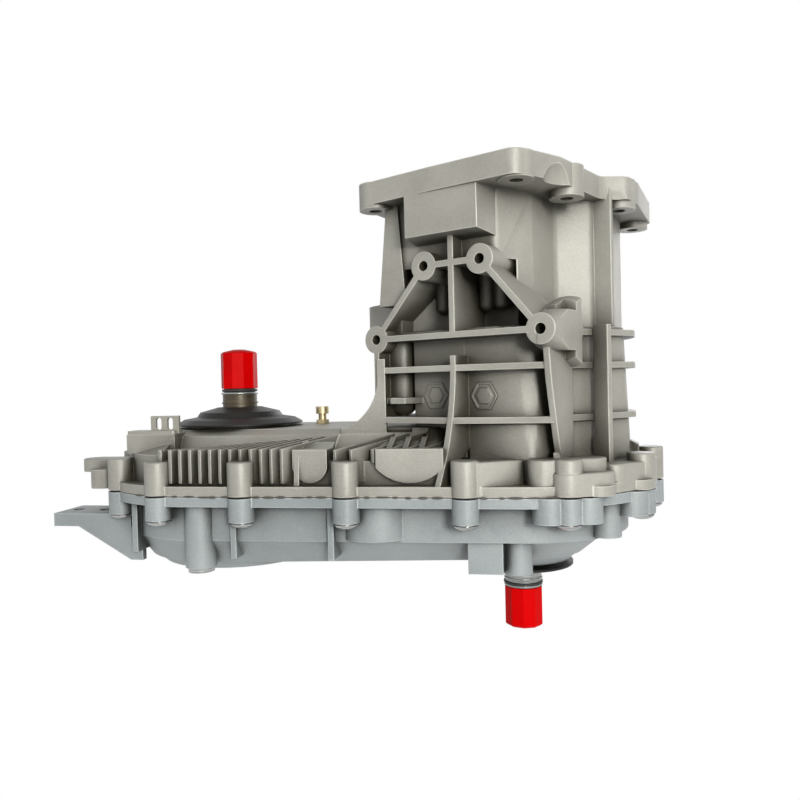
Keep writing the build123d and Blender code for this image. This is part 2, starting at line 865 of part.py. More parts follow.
def bearing_inner(x, z):
    pitch = (bearing_bore_radius + bearing_outer_radius) / 2
    with BuildPart() as ring:
        with BuildSketch(at(z)):
            with Locations((x, 0)):
                Circle(pitch - ball_radius * 0.75)
                Circle(bearing_bore_radius, mode=Mode.SUBTRACT)
        extrude(amount=bearing_width)
        with Locations((x, 0, z + bearing_width / 2)):
            Torus(pitch, ball_radius + ball_gap, mode=Mode.SUBTRACT)
    return ring


def bearing_cage(x, z):
    pitch = (bearing_bore_radius + bearing_outer_radius) / 2
    band = ball_radius * 0.75 - free_gap
    with BuildPart() as cage:
        with BuildSketch(at(z + bearing_width / 2 - ball_radius - 0.5)):
            with Locations((x, 0)):
                Circle(pitch + band)
                Circle(pitch - band, mode=Mode.SUBTRACT)
        extrude(amount=5)
        with Locations((x, 0, z + bearing_width / 2)):
            with PolarLocations(pitch, ball_count):
                Sphere(ball_radius)
    return cage


def seal_ring(x, z, inner):
    with BuildPart() as seal:
        with BuildSketch(at(z)):
            with Locations((x, 0)):
                Circle(seal_outer_radius)
                Circle(inner, mode=Mode.SUBTRACT)
        extrude(amount=seal_height)
        with BuildSketch(at(z - 1)):
            with Locations((x, 0)):
                Circle(seal_outer_radius - 3)
                Circle(inner + 5, mode=Mode.SUBTRACT)
        extrude(amount=seal_height - 2, mode=Mode.SUBTRACT)
    return seal


bearings = (
    ("main_upper", 0, main_bearing_z),
    ("main_lower", 0, rear_bearing_z),
    ("front_upper", front_x, front_upper_bearing_z),
    ("front_lower", front_x, front_lower_bearing_z),
)
for name, x, z in bearings:
    save(name + "_bearing_outer_ring", bearing_outer(x, z))
    save(name + "_bearing_inner_ring", bearing_inner(x, z))
    save(name + "_bearing_balls", bearing_cage(x, z))

main_seal_z = main_bearing_z + bearing_width + 6
rear_seal_z = rear_floor_z + 1
front_seal_z = roof_z - 5
save("input_seal", seal_ring(0, main_seal_z, shaft_seal_radius + running_gap))
save("rear_output_seal", seal_ring(0, rear_seal_z, shaft_seal_radius + running_gap))
save("front_output_seal", seal_ring(front_x, front_seal_z, shaft_seal_radius + running_gap))

# Main shaft: splined socket in the bell, clutch hub, seats and the rear splined stub
with BuildPart() as main_shaft:
    with BuildSketch(at(socket_top_z)):
        Circle(socket_radius)
    extrude(amount=bell_floor_z + 2 - socket_top_z)
    with BuildSketch(at(bell_floor_z + 2)):
        Circle(shaft_seal_radius)
    extrude(amount=main_bearing_z + bearing_width - bell_floor_z - 2)
    with BuildSketch(at(main_bearing_z + bearing_width)):
        Circle(bearing_bore_radius)
    extrude(amount=rear_bearing_z - main_bearing_z - bearing_width)
    with BuildSketch(at(rear_bearing_z)):
        Circle(shaft_seal_radius)
    extrude(amount=rear_neck_z - rear_bearing_z)
    with BuildSketch(at(rear_neck_z)):
        add(spline_sketch(stub_radius, stub_root_radius, stub_teeth))
    extrude(amount=rear_cap_z - cap_length + 4 - rear_neck_z)
    with BuildSketch(at(socket_top_z)):
        add(spline_sketch(socket_radius - 8, socket_radius - 10, stub_teeth))
    extrude(amount=-socket_depth, mode=Mode.SUBTRACT)
save("main_shaft", main_shaft)

# Ringed sleeve over the splines of an output, between the casing and the cap
def output_sleeve(x, start_z, end_z, rings):
    length = (start_z - end_z) / rings
    with BuildPart() as sleeve:
        for step in range(rings):
            with BuildSketch(at(start_z - step * length)):
                with Locations((x, 0)):
                    Circle(neck_radius)
            extrude(amount=-length + sleeve_ring)
            with BuildSketch(at(start_z - (step + 1) * length)):
                with Locations((x, 0)):
                    Circle(neck_radius + 1)
            extrude(amount=sleeve_ring)
        with BuildSketch(at(start_z + 1)):
            with Locations((x, 0)):
                Circle(stub_radius)
        extrude(amount=end_z - start_z - 2, mode=Mode.SUBTRACT)
    return sleeve


save("rear_output_sleeve", output_sleeve(0, rear_neck_z - free_gap, rear_cap_z + 1, 3))
save("front_output_sleeve", output_sleeve(front_x, front_sleeve_top_z, front_neck_z + free_gap, 2))
with BuildPart() as rear_slinger:
    with BuildSketch(Plane.XZ):
        Polygon(
            (shaft_seal_radius, rear_floor_z - 7), (shaft_seal_radius, rear_floor_z - 2),
            (shaft_seal_radius + 3, rear_floor_z - 2), (shaft_seal_radius + 4, rear_floor_z - 4),
            (slinger_radius, rear_floor_z - 4), (slinger_radius, rear_floor_z - 6),
            (shaft_seal_radius + 4, rear_floor_z - 7), align=None,
        )
    revolve(axis=Axis.Z)
save("rear_slinger", rear_slinger)


# Rings and washers shared by several places
def washer(x, z, inner, outer, thickness):
    with BuildPart() as ring:
        with BuildSketch(at(z)):
            with Locations((x, 0)):
                Circle(outer)
                Circle(inner, mode=Mode.SUBTRACT)
        extrude(amount=thickness)
    return ring


save("bearing_circlip", washer(0, main_bearing_z + bearing_width, shaft_seal_radius, bearing_bore_radius + 2, 1.6))

# Drive gear with its neck, turning free on the main shaft; the clutch drum sits on the neck
tooth = tooth_face(gear_module, gear_teeth, gear_backlash)


def gear_wheel(x, turn, bore):
    with BuildPart() as gear:
        with BuildSketch(at(gear_bottom_z)):
            with Locations((x, 0)):
                Circle(root_radius)
                with PolarLocations(0, gear_teeth, start_angle=turn):
                    add(tooth)
        extrude(amount=gear_width)
        with BuildSketch(at(gear_hub_bottom_z)):
            with Locations((x, 0)):
                Circle(gear_hub_radius)
        extrude(amount=gear_hub_top_z - gear_hub_bottom_z)
        for z in (gear_bottom_z, gear_top_z - 9):
            with BuildSketch(at(z)):
                with Locations((x, 0)):
                    Circle(root_radius - 7)
                    Circle(gear_hub_radius + 3, mode=Mode.SUBTRACT)
            extrude(amount=9, mode=Mode.SUBTRACT)
        with BuildSketch(at(gear_hub_bottom_z)):
            with Locations((x, 0)):
                Circle(bore)
        extrude(amount=gear_hub_top_z - gear_hub_bottom_z, mode=Mode.SUBTRACT)
    return gear


stack_bottom_z = clutch_top_z - (2 * plate_count - 1) * (plate_thickness + plate_gap) - plate_thickness
drum_floor_z = stack_bottom_z - wall
save("drive_gear", gear_wheel(0, 0, gear_bore_radius))
save("idler_gear", gear_wheel(idler_x, 180 / gear_teeth, idler_bore_radius))
save("driven_gear", gear_wheel(front_x, 0, bearing_bore_radius))
save("drive_gear_bush", washer(0, gear_hub_bottom_z, bearing_bore_radius + running_gap, gear_bore_radius,
                               gear_hub_top_z - gear_hub_bottom_z))
save("idler_bush", washer(idler_x, gear_hub_bottom_z, idler_pin_radius + running_gap, idler_bore_radius,
                          gear_hub_top_z - gear_hub_bottom_z))
save("idler_pin", washer(idler_x, rear_bearing_z, 5, idler_pin_radius,
                         front_upper_bearing_z + idler_pin_seat - rear_bearing_z))

# Clutch: drum on the drive gear, hub on the main shaft, plates between them
with BuildPart() as clutch_drum:
    with BuildSketch(at(gear_hub_top_z)):
        Circle(gear_hub_radius)
    extrude(amount=drum_floor_z - gear_hub_top_z)
    with BuildSketch(at(drum_floor_z)):
        Circle(drum_radius)
    extrude(amount=drum_top_z - drum_floor_z)
    with BuildSketch(at(drum_floor_z + wall)):
        Circle(plate_outer_radius + 2)
        with PolarLocations(plate_outer_radius + 2, 6):
            Circle(2)
    extrude(amount=drum_top_z - drum_floor_z, mode=Mode.SUBTRACT)
    with BuildSketch(at(gear_hub_top_z)):
        Circle(bearing_bore_radius + free_gap)
    extrude(amount=drum_top_z - gear_hub_top_z, mode=Mode.SUBTRACT)
save("clutch_drum", clutch_drum)

with BuildPart() as clutch_hub:
    with BuildSketch(at(stack_bottom_z + 2)):
        Circle(plate_inner_radius)
        Circle(bearing_bore_radius, mode=Mode.SUBTRACT)
    extrude(amount=clutch_top_z - stack_bottom_z - 2)
save("clutch_hub", clutch_hub)
with BuildPart() as friction_plates:
    for i in range(plate_count):
        with BuildSketch(at(clutch_top_z - 2 * i * (plate_thickness + plate_gap) - plate_thickness)):
            Circle(plate_outer_radius)
            Circle(plate_inner_radius, mode=Mode.SUBTRACT)
        extrude(amount=plate_thickness)
save("friction_plates", friction_plates)
with BuildPart() as steel_plates:
    for i in range(plate_count):
        with BuildSketch(at(clutch_top_z - (2 * i + 1) * (plate_thickness + plate_gap) - plate_thickness)):
            Circle(plate_outer_radius + 2)
            Circle(plate_inner_radius + 2, mode=Mode.SUBTRACT)
            with PolarLocations(plate_outer_radius + 2, 6):
                Circle(2)
        extrude(amount=plate_thickness)
save("steel_plates", steel_plates)

# Pressure plate with three ramps, and the cam ring whose followers ride on them
cam_radius = 32.5
follower_radius = 3
follower_length = 9
follower_z = -123
ramp_gap = 0.1
ramp_slope = plate_travel / (cam_radius * math.radians(sector_range))
plate_rest_gap = plate_travel + plate_gap
plate_bottom_z = clutch_top_z + plate_rest_gap
thrust_thickness = 3
plate_body_thickness = 6
ramp_start_z = plate_bottom_z + thrust_thickness + plate_body_thickness
ramp_top_z = follower_z - (follower_radius + ramp_gap) * math.sqrt(1 + ramp_slope ** 2)
save("pressure_thrust_bearing", washer(0, plate_bottom_z, 38, 60, thrust_thickness))
with BuildPart() as pressure_plate:
    with BuildSketch(at(plate_bottom_z + thrust_thickness)):
        Circle(62)
        Circle(27, mode=Mode.SUBTRACT)
    extrude(amount=plate_body_thickness)
    with BuildSketch(Plane.YZ.offset(cam_radius + follower_length / 2)):
        Polygon(
            (-6, ramp_start_z - 1), (15, ramp_start_z - 1),
            (15, ramp_top_z + 15 * ramp_slope), (-6, ramp_top_z - 6 * ramp_slope), align=None,
        )
    ramp = extrude(amount=-follower_length, mode=Mode.PRIVATE)
    with PolarLocations(0, 3):
        add(ramp)
save("pressure_plate", pressure_plate)

cam_bore_radius = 25
cam_outer_radius = 39
cam_top_z = -104
cam_bottom_z = -120
sector_tooth = tooth_face(sector_module, sector_teeth, gear_backlash)
sector_pitch_angle = 360 / sector_teeth
sector_root = sector_radius - 1.25 * sector_module
sector_first = motor_angle - (sector_shown_teeth - 3) * sector_pitch_angle
sector_last = motor_angle + 2 * sector_pitch_angle
sector_start = sector_first - sector_pitch_angle / 2
sector_span = sector_shown_teeth * sector_pitch_angle
sector_middle = math.radians(sector_start + sector_span / 2)
with BuildPart() as cam_ring:
    with BuildSketch(at(cam_bottom_z)):
        Circle(cam_outer_radius)
        Circle(cam_bore_radius, mode=Mode.SUBTRACT)
    extrude(amount=cam_top_z - cam_bottom_z)
    with BuildSketch(at(sector_z - sector_width / 2)):
        with BuildLine():
            first = math.radians(sector_start)
            last = math.radians(sector_start + sector_span)
            near = cam_outer_radius - 4
            ThreePointArc(
                (sector_root * math.cos(first), sector_root * math.sin(first)),
                (sector_root * math.cos(sector_middle), sector_root * math.sin(sector_middle)),
                (sector_root * math.cos(last), sector_root * math.sin(last)),
            )
            Line((sector_root * math.cos(last), sector_root * math.sin(last)),
                 (near * math.cos(last), near * math.sin(last)))
            ThreePointArc(
                (near * math.cos(last), near * math.sin(last)),
                (near * math.cos(sector_middle), near * math.sin(sector_middle)),
                (near * math.cos(first), near * math.sin(first)),
            )
            Line((near * math.cos(first), near * math.sin(first)),
                 (sector_root * math.cos(first), sector_root * math.sin(first)))
        make_face()
        for i in range(sector_shown_teeth):
            with Locations(Location((0, 0, 0), (0, 0, sector_first + i * sector_pitch_angle))):
                add(sector_tooth)
    extrude(amount=sector_width)
    with BuildSketch(Plane.YZ.offset(cam_radius + follower_length / 2)):
        with Locations((0, follower_z)):
            Circle(follower_radius)
        with Locations((0, (follower_z + cam_bottom_z) / 2 + 1)):
            Rectangle(1.6 * follower_radius, cam_bottom_z - follower_z + 2)
    follower = extrude(amount=-follower_length, mode=Mode.PRIVATE)
    with PolarLocations(0, 3):
        add(follower)
save("cam_ring", cam_ring)

# Flanged sleeve that carries the cam ring and holds the bearing in its seat
with BuildPart() as cam_sleeve:
    with BuildSketch(at(cam_bottom_z + 2)):
        Circle(cam_bore_radius - running_gap)
        Circle(bearing_bore_radius + 2, mode=Mode.SUBTRACT)
    extrude(amount=main_bearing_z - cam_bottom_z - 2)
    with BuildSketch(at(cam_roof_z)):
        Circle(bearing_outer_radius)
        Circle(bearing_outer_radius - 10, mode=Mode.SUBTRACT)
    extrude(amount=main_bearing_z - cam_roof_z)
    with BuildSketch(at(cam_roof_z)):
        Circle(bearing_outer_radius - 9)
        Circle(cam_bore_radius - 1, mode=Mode.SUBTRACT)
    extrude(amount=main_bearing_z - cam_roof_z - 1)
save("cam_sleeve", cam_sleeve)

# Actuator motor with its pinion and plug connection
pinion_tooth = tooth_face(sector_module, pinion_teeth, gear_backlash)
with BuildPart() as motor_pinion:
    with BuildSketch(at(sector_z - sector_width / 2)):
        with Locations((motor_x, motor_y)):
            Circle(pinion_radius - 1.25 * sector_module)
            with PolarLocations(0, pinion_teeth, start_angle=motor_angle + 180 + 180 / pinion_teeth):
                add(pinion_tooth)
    extrude(amount=sector_width)
    with BuildSketch(at(lobe_bottom_z + 1 + free_gap)):
        with Locations((motor_x, motor_y)):
            Circle(4)
    extrude(amount=sector_z - lobe_bottom_z - 1 - free_gap)
save("motor_pinion", motor_pinion)
with BuildPart() as actuator_motor:
    with BuildSketch(at(lobe_bottom_z)):
        with Locations((motor_x, motor_y)):
            Circle(pilot_radius)
    extrude(amount=1)
    with BuildSketch(at(lobe_bottom_z)):
        with Locations((motor_x, motor_y)):
            Circle(motor_radius)
        with Locations(ear_spots):
            Circle(ear_radius)
            Circle(screw_radius, mode=Mode.SUBTRACT)
    extrude(amount=-4)
    with BuildSketch(at(lobe_bottom_z)):
        with Locations((motor_x, motor_y)):
            Circle(motor_radius)
    extrude(amount=-motor_length)
save("actuator_motor", actuator_motor)

with BuildPart() as motor_screws:
    with BuildSketch(at(lobe_bottom_z + 6)):
        with Locations(ear_spots):
            Circle(screw_radius)
    extrude(amount=-10)
    with BuildSketch(at(lobe_bottom_z - 4)):
        with Locations(ear_spots):
            RegularPolygon(screw_head_radius, 6)
    extrude(amount=-4)
save("motor_screws", motor_screws)
motor_end_z = lobe_bottom_z - motor_length
with BuildPart() as motor_connector:
    with BuildSketch(at(motor_end_z)):
        with Locations((motor_x - 6, motor_y)):
            RectangleRounded(26, 16, 3)
    extrude(amount=-13)
    with BuildSketch(Plane.YZ.offset(motor_x - 19)):
        with Locations((motor_y, motor_end_z - 6.5)):
            RectangleRounded(12, 9, 2)
    extrude(amount=14, mode=Mode.SUBTRACT)
    with BuildSketch(Plane.YZ.offset(motor_x - 5)):
        with Locations((motor_y - 2.5, motor_end_z - 6.5), (motor_y + 2.5, motor_end_z - 6.5)):
            Rectangle(1, 4)
    extrude(amount=-10)
save("motor_connector", motor_connector)

# Front output shaft, pressed into the driven gear
with BuildPart() as front_output_shaft:
    with BuildSketch(at(front_lower_bearing_z - 3)):
        with Locations((front_x, 0)):
            Circle(bearing_bore_radius)
    extrude(amount=front_upper_bearing_z + bearing_width - front_lower_bearing_z + 3)
    with BuildSketch(at(front_upper_bearing_z)):
        with Locations((front_x, 0)):
            Circle(shaft_seal_radius)
    extrude(amount=front_neck_z - front_upper_bearing_z)
    with BuildSketch(at(front_neck_z)):
        with Locations((front_x, 0)):
            add(spline_sketch(stub_radius, stub_root_radius, stub_teeth))
    extrude(amount=front_cap_z + cap_length - 4 - front_neck_z)
save("front_output_shaft", front_output_shaft)

# Stepped dust shield of pressed sheet on the front output
shield_sheet = 1.6
with BuildPart() as front_dust_shield:
    with BuildSketch(Plane.XZ):
        Polygon(
            (front_x + shaft_seal_radius, front_neck_z - 1), (front_x + shaft_seal_radius, front_neck_z + 8),
            (front_x + 21, front_neck_z + 8), (front_x + 38, front_neck_z + 3.5),
            (front_x + 41, front_neck_z - 1), (front_x + 53, front_neck_z - 3),
            (front_x + shield_radius, front_neck_z - 7),
            (front_x + shield_radius, front_neck_z - 7 - shield_sheet),
            (front_x + 52, front_neck_z - 3 - shield_sheet), (front_x + 40, front_neck_z - 1 - shield_sheet),
            (front_x + 37, front_neck_z + 3.5 - shield_sheet), (front_x + 20, front_neck_z + 8 - shield_sheet),
            (front_x + 20, front_neck_z - 1), align=None,
        )
    revolve(axis=Axis((front_x, 0, 0), (0, 0, 1)))
save("front_dust_shield", front_dust_shield)


# Plastic cap over a splined stub, open end at mouth_z
def shipping_cap(x, mouth_z, way):
    with BuildPart() as cap:
        with BuildSketch(at(mouth_z)):
            with Locations((x, 0)):
                Circle(cap_radius)
        body = extrude(amount=way * cap_length)
        far = cap.faces().sort_by(Axis.Z)[-1 if way > 0 else 0]
        fillet(far.edges(), cap_wall)
        with BuildSketch(at(mouth_z)):
            with Locations((x, 0)):
                Circle(cap_radius + 0.9)
        extrude(amount=way * 3)
        with BuildSketch(at(mouth_z)):
            with Locations((x, 0)):
                Circle(cap_bore_radius)
        extrude(amount=way * (cap_length - cap_wall), mode=Mode.SUBTRACT)
    return cap


save("rear_output_cap", shipping_cap(0, rear_cap_z, -1))
save("front_output_cap", shipping_cap(front_x, front_cap_z, 1))

# Plugs, dowels, breather and the slotted harness bracket
with BuildPart() as drain_plug:
    with BuildSketch(at(rear_middle_z)):
        with Locations((column_x, -rear_wall_radius + 4)):
            Circle(plug_radius)
    extrude(amount=12)
    with BuildSketch(at(rear_middle_z)):
        with Locations((column_x, -rear_wall_radius + 4)):
            Circle(plug_head_radius)
    extrude(amount=-4)
    with BuildSketch(at(rear_middle_z - 4)):
        with Locations((column_x, -rear_wall_radius + 4)):
            RegularPolygon(5, 6)
    extrude(amount=8, mode=Mode.SUBTRACT)
save("drain_plug", drain_plug)
with BuildPart() as filler_plug:
    with BuildSketch(Plane.XZ.offset(-rear_wall_radius - 4)):
        with Locations((filler_x, filler_z)):
            Circle(plug_radius)
    extrude(amount=10)
    with BuildSketch(Plane.XZ.offset(-rear_wall_radius - 4)):
        with Locations((filler_x, filler_z)):
            Circle(plug_head_radius)
    extrude(amount=-4)
    with BuildSketch(Plane.XZ.offset(-rear_wall_radius - 8)):
        with Locations((filler_x, filler_z)):
            RegularPolygon(5, 6)
    extrude(amount=8, mode=Mode.SUBTRACT)
save("filler_plug", filler_plug)
with BuildPart() as dowel_pins:
    with BuildSketch(at(split_z - 10)):
        with Locations(dowel_spots):
            Circle(dowel_radius)
    extrude(amount=20)
save("dowel_pins", dowel_pins)
with BuildPart() as breather:
    with BuildSketch(at(roof_z - 4)):
        with Locations(breather_spot):
            Circle(4)
    extrude(amount=14)
    with BuildSketch(at(roof_z + 10)):
        with Locations(breather_spot):
            Circle(6.5)
    extrude(amount=7)
    with BuildSketch(at(roof_z)):
        with Locations(breather_spot):
            RegularPolygon(6.5, 6)
    extrude(amount=4)
save("breather", breather)
with BuildPart() as harness_bracket:
    with BuildSketch(Plane.XZ.offset(bracket_y)):
        with Locations((bracket_x, bracket_foot_z)):
            Rectangle(27, bracket_top_z - bracket_foot_z, align=(Align.CENTER, Align.MIN))
        with Locations((bracket_x - 6, bracket_foot_z + 9), (bracket_x + 5, bracket_foot_z + 9)):
            SlotOverall(11, 5.5, rotation=90, mode=Mode.SUBTRACT)
    extrude(amount=3)
    with BuildSketch(at(bracket_foot_z)):
        with Locations((bracket_x - 11, -bracket_y)):
            RectangleRounded(46, 18, 3)
    extrude(amount=3)
save("harness_bracket", harness_bracket)
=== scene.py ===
import json
import math
import random

import bpy
from mathutils import Matrix, Vector


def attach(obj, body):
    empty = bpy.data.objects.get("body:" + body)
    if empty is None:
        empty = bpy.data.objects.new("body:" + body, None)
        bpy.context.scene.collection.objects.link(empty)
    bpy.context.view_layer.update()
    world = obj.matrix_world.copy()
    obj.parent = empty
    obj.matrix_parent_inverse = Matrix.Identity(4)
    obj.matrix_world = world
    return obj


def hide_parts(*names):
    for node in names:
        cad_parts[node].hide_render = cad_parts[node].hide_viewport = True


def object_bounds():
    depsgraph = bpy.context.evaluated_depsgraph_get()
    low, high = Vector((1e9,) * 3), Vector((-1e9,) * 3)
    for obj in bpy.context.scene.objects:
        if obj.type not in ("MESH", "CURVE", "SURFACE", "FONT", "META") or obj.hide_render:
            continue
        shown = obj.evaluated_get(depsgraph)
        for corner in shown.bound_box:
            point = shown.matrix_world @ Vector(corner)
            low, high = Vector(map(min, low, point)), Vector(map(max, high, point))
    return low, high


# Lengths are metres in the shared frame, apart from those that are multiplied by MM.
MM = 0.001

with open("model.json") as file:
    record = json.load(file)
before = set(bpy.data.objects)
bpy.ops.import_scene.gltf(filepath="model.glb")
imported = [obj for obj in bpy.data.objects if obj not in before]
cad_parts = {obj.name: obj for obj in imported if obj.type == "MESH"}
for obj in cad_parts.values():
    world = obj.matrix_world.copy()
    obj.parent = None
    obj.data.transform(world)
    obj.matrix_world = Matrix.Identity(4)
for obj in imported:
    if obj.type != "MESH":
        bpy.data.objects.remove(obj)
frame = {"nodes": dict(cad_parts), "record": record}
cad_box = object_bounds()
bpy.ops.object.select_all(action="DESELECT")
nodes = frame["nodes"]


# Materials

def new_material(name, colour, metallic, roughness):
    """A node material, with its node tree and its shader."""
    material = bpy.data.materials.new(name)
    material.use_nodes = True
    shader = material.node_tree.nodes["Principled BSDF"]
    shader.inputs["Base Color"].default_value = (*colour, 1)
    shader.inputs["Metallic"].default_value = metallic
    shader.inputs["Roughness"].default_value = roughness
    return material, material.node_tree, shader


def object_noise(tree, scale, detail=3, rough=0.5, stretch=None):
    """Noise fixed to the object, stretched along its axes if asked."""
    place = tree.nodes.new("ShaderNodeTexCoord").outputs["Object"]
    if stretch:
        mapping = tree.nodes.new("ShaderNodeMapping")
        mapping.inputs["Scale"].default_value = stretch
        tree.links.new(place, mapping.inputs["Vector"])
        place = mapping.outputs["Vector"]
    noise = tree.nodes.new("ShaderNodeTexNoise")
    noise.inputs["Scale"].default_value = scale
    noise.inputs["Detail"].default_value = detail
    noise.inputs["Roughness"].default_value = rough
    tree.links.new(place, noise.inputs["Vector"])
    return noise.outputs["Fac"]


def ramp(tree, value, stops):
    """Colour that follows a value through stops of (position, colour)."""
    node = tree.nodes.new("ShaderNodeValToRGB")
    elements = node.color_ramp.elements
    elements[0].position, elements[0].color = stops[0][0], (*stops[0][1], 1)
    elements[1].position, elements[1].color = stops[-1][0], (*stops[-1][1], 1)
    for position, colour in stops[1:-1]:
        element = elements.new(position)
        element.color = (*colour, 1)
    tree.links.new(value, node.inputs["Fac"])
    return node.outputs["Color"]


def remap(tree, value, low, high, to_low, to_high):
    node = tree.nodes.new("ShaderNodeMapRange")
    node.inputs["From Min"].default_value = low
    node.inputs["From Max"].default_value = high
    node.inputs["To Min"].default_value = to_low
    node.inputs["To Max"].default_value = to_high
    tree.links.new(value, node.inputs["Value"])
    return node.outputs["Result"]


def mix(tree, first, second, factor, kind="MIX"):
    """Mix of two colours. Each of the three may be a number, a colour or another node's output."""
    node = tree.nodes.new("ShaderNodeMix")
    node.data_type = "RGBA"
    node.blend_type = kind
    for value, socket in ((factor, node.inputs[0]), (first, node.inputs[6]), (second, node.inputs[7])):
        if isinstance(value, (int, float)):
            socket.default_value = value
        elif isinstance(value, tuple):
            socket.default_value = (*value, 1)
        else:
            tree.links.new(value, socket)
    return node.outputs[2]


def bump(tree, height, strength, distance, normal=None):
    node = tree.nodes.new("ShaderNodeBump")
    node.inputs["Strength"].default_value = strength
    node.inputs["Distance"].default_value = distance
    tree.links.new(height, node.inputs["Height"])
    if normal:
        tree.links.new(normal, node.inputs["Normal"])
    return node.outputs["Normal"]


def soft_edges(tree, radius, samples=6):
    """Normal that rounds the edges by a radius."""
    node = tree.nodes.new("ShaderNodeBevel")
    node.samples = samples
    node.inputs["Radius"].default_value = radius
    return node.outputs["Normal"]


def edge_mask(tree, rounded):
    """White along outer edges, where the rounded normal leaves the flat one."""
    flat = tree.nodes.new("ShaderNodeNewGeometry").outputs["Normal"]
    agree = tree.nodes.new("ShaderNodeVectorMath")
    agree.operation = "DOT_PRODUCT"
    tree.links.new(rounded, agree.inputs[0])
    tree.links.new(flat, agree.inputs[1])
    return remap(tree, agree.outputs["Value"], 0.995, 0.9, 0, 1)


def openness(tree, distance):
    """One in the open, falling towards zero in recesses."""
    hollow = tree.nodes.new("ShaderNodeAmbientOcclusion")
    hollow.samples = 6
    hollow.inputs["Distance"].default_value = distance
    return hollow.outputs["AO"]


cast_rounding = 0.0016


def cast_aluminium(name, light, dark, painted_shade):
    """Sand-blasted casting: blotches, grain, painted shade in the recesses and painted highlights along the
    outer edges.
    """
    material, tree, shader = new_material(name, light, 0.12, 0.46)
    blotch = object_noise(tree, 14, 4, 0.6)
    fine = object_noise(tree, 700, 3, 0.6)
    colour = ramp(tree, blotch, ((0.3, dark), (0.68, light)))
    speckle = ramp(tree, fine, ((0.35, (0.72, 0.72, 0.72)), (0.65, (1, 1, 1))))
    colour = mix(tree, colour, speckle, 0.4, "MULTIPLY")
    air = openness(tree, 0.04)
    rounded = soft_edges(tree, cast_rounding)
    # Painted highlight: a lighter copy of the colour along the outer edges, kept out of the recesses.
    bright = tuple(min(0.9, 1.75 * c) for c in light)
    painted_edge_highlight = tree.nodes.new("ShaderNodeMath")
    painted_edge_highlight.operation = "MULTIPLY"
    tree.links.new(edge_mask(tree, rounded), painted_edge_highlight.inputs[0])
    tree.links.new(remap(tree, air, 0.55, 0.85, 0, 0.75), painted_edge_highlight.inputs[1])
    # Painted shade: the colour falls to the dark shade colour in recesses, where the occlusion is low.
    colour = mix(tree, colour, painted_shade, ramp(tree, air, ((0.4, (1, 1, 1)), (0.88, (0, 0, 0)))))
    colour = mix(tree, colour, bright, painted_edge_highlight.outputs[0])
    tree.links.new(colour, shader.inputs["Base Color"])
    tree.links.new(remap(tree, blotch, 0.3, 0.7, 0.38, 0.54), shader.inputs["Roughness"])
    grain = bump(tree, fine, 0.35, 0.0006, rounded)
    waves = bump(tree, object_noise(tree, 60, 2), 0.25, 0.0012, grain)
    tree.links.new(waves, shader.inputs["Normal"])
    return material


def turned_steel(name, light, dark, roughness, metallic=0.7):
    """Metal with fine turning rings round the shaft axis."""
    material, tree, shader = new_material(name, light, metallic, roughness)
    rings = object_noise(tree, 40, 3, 0.6, (1, 1, 30))
    tree.links.new(ramp(tree, rings, ((0.3, dark), (0.7, light))), shader.inputs["Base Color"])
    sheen = remap(tree, rings, 0.3, 0.7, roughness - 0.08, roughness + 0.1)
    tree.links.new(sheen, shader.inputs["Roughness"])
    turned = bump(tree, rings, 0.2, 0.0002, soft_edges(tree, 0.0004, 4))
    tree.links.new(turned, shader.inputs["Normal"])
    return material


def paint_or_plastic(name, colour, roughness, grain=300, depth=0.0001, metallic=0.0, shine=0.5):
    """Paint, plastic or rubber with faint faded patches and a fine grain."""
    material, tree, shader = new_material(name, colour, metallic, roughness)
    shader.inputs["Specular IOR Level"].default_value = shine
    patches = object_noise(tree, 35, 3)
    faded = tuple(c * 0.85 for c in colour)
    tree.links.new(ramp(tree, patches, ((0.3, faded), (0.7, colour))), shader.inputs["Base Color"])
    sheen = remap(tree, patches, 0.3, 0.7, roughness - 0.05, roughness + 0.08)
    tree.links.new(sheen, shader.inputs["Roughness"])
    grained = bump(tree, object_noise(tree, grain), 0.3, depth, soft_edges(tree, 0.0006, 4))
    tree.links.new(grained, shader.inputs["Normal"])
    return material


